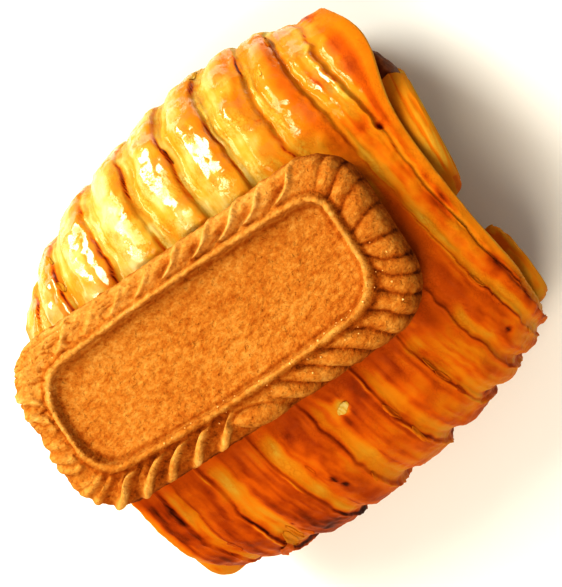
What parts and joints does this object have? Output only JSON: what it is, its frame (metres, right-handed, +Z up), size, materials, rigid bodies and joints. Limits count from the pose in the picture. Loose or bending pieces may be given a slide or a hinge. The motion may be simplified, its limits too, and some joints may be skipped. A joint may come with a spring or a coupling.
{
  "type": "pain au chocolat",
  "caption": "Short glazed chocolate pastry roll with a ribbed flaky crust, chocolate sticks showing at its coiled ends and a fluted caramelised biscuit on top.",
  "frame": {"origin": "middle of the flat underside, on the axis the dough is rolled round", "axes": "+X along the roll, towards the end whose coils lie open; +Z up through the biscuit; +Y across the roll, on the side of the larger coil"},
  "size_m": [0.0755, 0.0687, 0.0403],
  "materials": {
    "crust": "glossy egg wash over laminated dough: orange-brown ribs and pale gold gaps",
    "caramel_biscuit": "dry, sandy caramel-brown biscuit",
    "chocolate": "dull dark chocolate, softened by the oven"
  },
  "bodies": {
    "root": {"pastry": "crust", "biscuit": "caramel_biscuit", "choc_stick_a": "chocolate", "choc_stick_b": "chocolate"}
  },
  "joints": []
}
